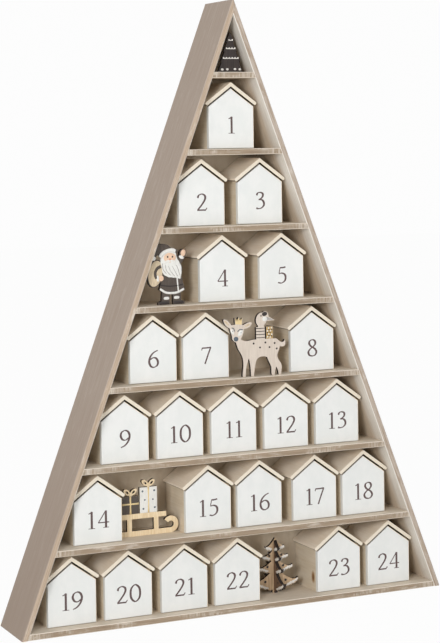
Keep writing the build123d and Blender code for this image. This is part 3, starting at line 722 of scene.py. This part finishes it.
santa_dark = [
    *[santa_dab(eye, 0.782, 0.015, 0.016, rise=0.3, lift=0.75, count=12) for eye in (-0.060, 0.026)],
    santa_brush(belt, 1.3, rise=0.3, samples=10),
    *[santa_dab(boot, 0.032, 0.086, 0.026, rise=0.3, power=4.0) for boot in (-0.128, 0.128)],
]
santa_cream = [santa_dab(-0.275, 0.515, 0.122, 0.216, -12, rise=0.5)]
santa_sleeve = [santa_brush(arm, 3.2, rise=0.5, lift=0.4, samples=16)]
santa_grey = [santa_brush(curl, 0.6, rise=0.2, lift=0.35, samples=12) for curl in curls]
santa_blush = [santa_dab(-0.018, 0.742, 0.022, 0.018, rise=0.6, lift=0.7, count=14)]
santa_layers = (
    ("white_trim", santa_white, "white"),
    ("face_and_hands", santa_skin, "skin"),
    ("sack_paint", santa_cream, "cream"),
    ("dark_details", santa_dark, "black"),
    ("sleeve", santa_sleeve, "charcoal"),
    ("beard_curls", santa_grey, "grey"),
    ("nose", santa_blush, "blush"),
)
for label, parts, colour in santa_layers:
    paint_figure(f"santa_{label}", parts, santa_origin, colour)
print("layers on the bearded figure:", len(santa_layers))

# %% [markdown]
# ## Reindeer, parcels and bird
# The reindeer is bare ply with dark spots. Its nose, face and small crown are painted. On its back stand a
# striped parcel, a gold one and a small bird. The parcels are placed from the height of the back, the bird
# from its perch, so that each stays on what carries it.

# %% Marks of the reindeer and its load
deer_height, deer_left = 62.0, 0.645
deer_box = np.array(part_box("reindeer"))
deer_origin = (deer_box[0, 0] + deer_left * deer_height * mm, deer_box[0, 1], deer_box[0, 2])
deer_dab, deer_brush = partial(dab, deer_height), partial(brush, deer_height)
back_share, parcel_share = 0.612, 0.204
perch = np.array([0.037, back_share + parcel_share])
gold_middle = np.array([0.204, back_share + 0.102])
spots = [(-0.093, 0.547), (0.025, 0.475), (0.126, 0.552), (0.202, 0.471), (0.298, 0.533), (0.337, 0.439)]
eyes = [(-0.325, 0.742), (-0.478, 0.772)]
stripes = (0.028, 0.080, 0.132, 0.182)
dark_dots = [
    (-0.012, 0.052), (0.036, 0.046), (-0.036, 0.104), (0.010, 0.104), (0.040, 0.150), (-0.010, 0.150),
]
pale_dots = gold_middle + [
    (-0.036, -0.068), (0.012, -0.075), (0.040, -0.030), (-0.014, -0.022),
    (-0.038, 0.030), (0.020, 0.030), (0.036, 0.078), (-0.016, 0.076),
]
brows = [
    [(-0.385, 0.760), (-0.345, 0.795), (-0.292, 0.790)],
    [(-0.440, 0.770), (-0.455, 0.815), (-0.490, 0.830)],
]
crown = np.array([
    (-0.429, 0.881), (-0.301, 0.866), (-0.291, 0.985), (-0.335, 0.934),
    (-0.365, 1.0), (-0.396, 0.935), (-0.436, 0.990),
])
crown_paint = 0.90
crown = crown.mean(0) + crown_paint * (crown - crown.mean(0))
beak = np.array([(0.118, 0.165), (0.112, 0.112), (0.258, 0.104)]) + perch
print("spots:", len(spots), "dots on the gold parcel:", len(dark_dots) + len(pale_dots))

# %% Paint on the reindeer and its load
deer_dark = [deer_dab(*spot, 0.018, 0.017, rise=0.25, count=12) for spot in spots]
deer_dark += [deer_dab(*eye, 0.011, 0.013, rise=0.7, count=12) for eye in eyes]
for stripe in stripes:
    up = back_share + stripe
    line = np.array([(-0.040, up), (0.037, up - 0.003), (0.114, up)])
    deer_dark.append(stroke(line * deer_height, 0.75, rise=0.3))
for across, up in dark_dots:
    place = (gold_middle[0] + across, back_share + up)
    deer_dark.append(deer_dab(*place, 0.012, 0.012, rise=0.2, lift=0.3, count=10))
deer_dark += [
    pillow((oval(0.080, 0.214, 0.050, 0.035, 8) + perch) * deer_height, rise=0.3),
    pillow((oval(0.014, 0.186, 0.012, 0.013, count=10) + perch) * deer_height, rise=0.3),
]
deer_white = [
    deer_dab(-0.334, 0.735, 0.068, 0.036, 48, rise=0.5, power=1.4),
    deer_dab(-0.481, 0.765, 0.056, 0.028, 118, rise=0.5, power=1.4),
    pillow((oval(0.082, 0.130, 0.046, 0.040, -10) + perch) * deer_height, rise=0.45),
]
deer_white += [deer_dab(*dot, 0.013, 0.013, rise=0.2, lift=0.3, count=10) for dot in pale_dots]
deer_slate = [deer_dab(-0.415, 0.640, 0.044, 0.040, rise=0.8)]
deer_slate += [deer_brush(brow, 0.9, rise=0.45, samples=10) for brow in brows]
deer_bronze = [deer_dab(*gold_middle, 0.059, 0.100, rise=0.25, count=48, power=20.0)]
deer_cream = [
    deer_dab(-0.585, 0.918, 0.058, 0.018, 136, rise=0.4),
    deer_dab(-0.200, 0.858, 0.052, 0.018, 22, rise=0.4),
]
deer_layers = (
    ("spots", deer_dark, "black"),
    ("white", deer_white, "white"),
    ("nose_and_brows", deer_slate, "slate"),
    ("gold", [pillow(crown * deer_height, rise=0.4)], "gold"),
    ("gold_parcel", deer_bronze, "bronze"),
    ("beak", [pillow(beak * deer_height, rise=0.3)], "grey"),
    ("ears", deer_cream, "cream"),
)
for label, parts, colour in deer_layers:
    paint_figure(f"reindeer_{label}", parts, deer_origin, colour)
print("reindeer stands at", np.round(np.array(deer_origin) * 1000, 1).tolist(), "mm")

# %% [markdown]
# ## Gifts on the sledge
# One gift is charcoal with a crossed ribbon, the other white with grey dots. Ribbons are strokes with a
# slightly higher rise, so they lie over the paper.

# %% Sledge gifts
sledge_box = np.array(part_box("sledge"))
sledge_origin = (sledge_box[:, 0].mean(), sledge_box[0, 1], sledge_box[0, 2])
sledge_length, deck_top = 65.0, 22.6
dark_middle, dark_width, dark_height = -0.31 * sledge_length, 18.8, 18.4
white_middle, white_width, white_height = -0.005 * sledge_length, 19.2, 26.4
ply_rim, ribbon_inset = 0.1, 0.3
cross_up, cross_half = deck_top + 10.4, 9.2
dot_places = ((-6.4, 22.3), (6.4, 22.3), (-4.0, 13.4), (4.8, 13.4), (-5.7, 4.4), (6.8, 5.0))


def paper(middle, width, height):
    """Rounded oblong of paint that leaves a thin rim of ply round a gift."""
    up, half = deck_top + height / 2, (width / 2 - ply_rim, height / 2 - ply_rim)
    return pillow(oval(middle, up, *half, count=64, power=40.0), rise=0.3)


def ribbon(start, end, width):
    """A flat stroke between two points on a gift."""
    return stroke(np.linspace(start, end, 5), width, rise=0.55)


ribbon_foot = deck_top + ribbon_inset
ribbons = [
    ribbon((dark_middle, ribbon_foot), (dark_middle, deck_top + dark_height - ribbon_inset), 2.2),
    ribbon((dark_middle - cross_half, cross_up), (dark_middle + cross_half, cross_up), 2.2),
    ribbon((white_middle, ribbon_foot), (white_middle, deck_top + white_height - ribbon_inset), 2.0),
]
dots = [
    pillow(oval(white_middle + across, deck_top + up, 1.25, 1.25, count=14), rise=0.5)
    for across, up in dot_places
]
paint_figure("sledge_dark_paper", [paper(dark_middle, dark_width, dark_height)], sledge_origin, "charcoal")
paint_figure("sledge_white_paper", [paper(white_middle, white_width, white_height)], sledge_origin, "white")
paint_figure("sledge_ribbons", ribbons, sledge_origin, "gold")
paint_figure("sledge_paper_dots", dots, sledge_origin, "slate")
print("gifts stand on a deck", deck_top, "mm high")

# %% [markdown]
# ## Snow on the trees
# The fir's branches have snow along their ragged lower edges and on their tips, and the small tree has rows
# of white dots, laid on as thick paint. The fir's panels cross and are seen from both sides, so the snow is
# on both faces. A line of snow swells to its middle and is lumpy: its width is a sine along the branch times
# a quicker, smaller one.

# %% Snowy branches of the fir
# Branches are in shares of the fir's half width and height; drips are (sample along a branch, length in mm).
fir_height, fir_half, figure_ply = 58.0, 26.5, 3.5
fir_box = np.array(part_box("fir_panel_wide"))
fir_centre = np.array([*fir_box[:, :2].mean(axis=0), fir_box[0, 2]])
branches = [
    [(0.30, 0.085), (0.45, 0.105), (0.60, 0.135), (0.75, 0.160), (0.88, 0.185), (0.975, 0.222)],
    [(0.30, 0.400), (0.43, 0.415), (0.55, 0.440), (0.66, 0.446), (0.742, 0.472)],
    [(0.22, 0.622), (0.31, 0.630), (0.40, 0.648), (0.48, 0.652), (0.548, 0.672)],
    [(0.14, 0.800), (0.21, 0.805), (0.28, 0.820), (0.34, 0.822), (0.395, 0.838)],
]
drips = ((4, 1.5), (9, 1.1), (14, 1.6), (19, 1.2))
drip_drop, drip_half = 0.7, 0.75
hole_shares, hole_radius = [(0.44, 0.210), (0.34, 0.480), (0.26, 0.680)], 1.4
snow_samples = 22
swell = 1.0 + 1.7 * np.sin(np.pi * np.linspace(0.05, 0.90, snow_samples))
snow, hole_shades = [], []
for branch in branches:
    for side in (-1, 1):
        path = smooth(np.array(branch) * [side * fir_half, fir_height], snow_samples)
        lumps = 1 + 0.28 * np.sin(np.arange(snow_samples) * 1.9 + side)
        snow.append(stroke(path, swell * lumps, rise=0.45))
        for step, length in drips:
            drip = path[step] - [0.0, drip_drop]
            snow.append(pillow(oval(*drip, drip_half, length, count=12), rise=0.4))
# Painted shade: black discs where the fir shows dark holes.
for across, up in hole_shares:
    for side in (-1, 1):
        hole = oval(side * across * fir_half, up * fir_height, hole_radius, hole_radius, count=12)
        hole_shades.append(pillow(hole, rise=0.2))
directions = {"front": fir_along, "rear": -fir_along, "right": fir_behind, "left": -fir_behind}
for name, along in directions.items():
    outward = np.array([along[1], -along[0], 0.0])
    origin = fir_centre + outward * figure_ply / 2 * mm
    paint_figure(f"fir_snow_{name}", snow, origin, "snow", along)
    paint_figure(f"fir_hole_shades_{name}", hole_shades, origin, "black", along)
print("snow on", len(directions), "fir faces")

# %% Dots and garlands of the small tree
# A garland is (height, shift to the right, half length, dots) in mm.
tree_box = np.array(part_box("top_tree"))
tree_origin = (tree_box[:, 0].mean(), tree_box[0, 1], tree_box[0, 2])
garlands = ((33.0, 0.7, 1.9, 2), (24.5, 0.6, 4.7, 4), (14.6, 0.6, 8.2, 6))
garland_sag, garland_width, berry = 0.55, 0.9, 0.95
foot_dots = ((-9.2, 2.8), (-3.4, 3.0), (5.2, 3.2), (10.6, 3.0))
tree_dots = [pillow(oval(*place, 1.5, 1.15, count=14), rise=0.45) for place in foot_dots]
for up, shift, reach, count in garlands:
    samples = 6 * count
    across = np.linspace(-reach, reach, samples) + shift
    scallops = up - garland_sag * np.abs(np.sin(np.linspace(0, np.pi * (count - 1), samples)))
    tree_dots.append(stroke(np.stack([across, scallops], axis=1), garland_width, rise=0.35))
    berries = np.linspace(-reach, reach, count) + shift
    tree_dots += [pillow(oval(place, up, berry, berry, count=12), rise=0.55) for place in berries]
paint_figure("top_tree_snow", tree_dots, tree_origin, "snow")
print("marks on the small tree:", len(tree_dots))

# %% [markdown]
# ## Floor and world
# The object stands on a white ground. The floor is a pale sheet that keeps the shadow; what the camera sees
# of it, and of the world behind, is lifted to white with Light Path, so no extra light falls on the object.


# %% White floor and world
def seen_directly(tree):
    """1 for a ray from the camera, a reflection or glass, 0 for light on its way between surfaces."""
    ray = add(tree, "LightPath").outputs
    seen = {"Value": ray["Is Camera Ray"], "Value_001": ray["Is Glossy Ray"]}
    seen = {"Value": add(tree, "Math", seen, operation="MAXIMUM"), "Value_001": ray["Is Transmission Ray"]}
    return add(tree, "Math", seen, operation="MAXIMUM")


# Uncoated paper: matt and white, with a soft shadow; most of what is seen of it glows an even white.
floor_half, floor_drop = 6.0, 0.2 * mm
glow_share, ambient, seen_world = 0.95, 0.49, 0.98
floor_mesh = bpy.data.meshes.new("floor")
floor_corners = np.array([(-1, -1), (1, -1), (1, 1), (-1, 1)]) * floor_half
floor_mesh.from_pydata([(*corner, -floor_drop) for corner in floor_corners], [], [(0, 1, 2, 3)])
floor = bpy.data.objects.new("floor", floor_mesh)
bpy.context.scene.collection.objects.link(floor)
material, tree = new_finish("floor_white_sheet")
sheet = add(tree, "BsdfPrincipled", {"Base Color": "#f4f3f1", "Roughness": 0.9})
glow = add(tree, "Emission", {"Color": "#ffffff", "Strength": 1.0})
lifted = add(tree, "Math", {"Value": seen_directly(tree), "Value_001": glow_share}, operation="MULTIPLY")
mixed = add(tree, "MixShader", {"Fac": lifted, "Shader": sheet, "Shader_001": glow})
add(tree, "OutputMaterial", {"Surface": mixed})
floor_mesh.materials.append(material)

world = bpy.data.worlds.new("studio")
world.use_nodes = True
tree = world.node_tree
tree.nodes.clear()
strength = add(tree, "MapRange", {"Value": seen_directly(tree), "To Min": ambient, "To Max": seen_world})
sky = add(tree, "Background", {"Color": "#ffffff", "Strength": strength})
add(tree, "OutputWorld", {"Surface": sky})
bpy.context.scene.world = world
print("world gives", ambient, "of white as light")

# %% [markdown]
# ## Lamps
# The light is soft and comes from a softbox at the left front. A wide weak one nearly in front, a little to
# the right, lets light into the niches, and a weaker one above keeps the shelves from going dark.


# %% Softboxes
def softbox(name, place, aim, size, watts):
    """A square area lamp at a place, turned to its aim."""
    lamp = bpy.data.lights.new(name, "AREA")
    lamp.size = size
    lamp.energy = watts
    made = bpy.data.objects.new(name, lamp)
    made.location = place
    made.rotation_euler = (Vector(aim) - Vector(place)).to_track_quat("-Z", "Y").to_euler()
    bpy.context.scene.collection.objects.link(made)


middle = (0.0, 0.0, 0.30)
softbox("front_left_softbox", (-1.85, -2.0, 0.86), middle, 0.7, 37.0)
softbox("front_right_fill", (0.9, -2.6, 0.65), middle, 1.0, 10.0)
softbox("top_softbox", (0.3, -1.9, 2.3), middle, 1.6, 5.0)

# %% [markdown]
# ## Camera
# The camera was fitted to the case's corners, shelf ends and house fronts, so that the same points fall
# within a few pixels of where the picture has them. It stands to the left and a little above the middle. A
# lens shift lets it look nearly level, so that upright lines stay upright.

# %% Camera of the photograph
# The picture is upright, so its height is the side that Blender measures the lens and the shift by.
picture_height = 643
focal_pixels, shift_pixels = 1819.43, -134.0
yaw, pitch, roll = np.radians([-24.8314, 1.5878, -0.8286])
camera_place = np.array([-794.36, -1711.79, 488.33]) * mm
back = np.array([np.sin(yaw) * np.cos(pitch), -np.cos(yaw) * np.cos(pitch), np.sin(pitch)])
right = np.cross(-back, [0, 0, 1])
right /= np.linalg.norm(right)
up = np.cross(right, -back)
right, up = np.cos(roll) * right + np.sin(roll) * up, np.cos(roll) * up - np.sin(roll) * right
lens = bpy.data.cameras.new("photo_camera")
lens.sensor_width = 36.0
lens.lens = focal_pixels / picture_height * lens.sensor_width
lens.shift_y = shift_pixels / picture_height
lens.clip_start, lens.clip_end = 0.05, 50.0
camera = bpy.data.objects.new("photo_camera", lens)
placed = np.eye(4)
placed[:3] = np.stack([right, up, back, camera_place], axis=1)
camera.matrix_world = Matrix(placed.tolist())
bpy.context.scene.collection.objects.link(camera)
bpy.context.scene.camera = camera
bpy.context.scene.view_settings.view_transform = "Standard"
print("lens", round(lens.lens, 1), "mm, shift", round(lens.shift_y, 3))
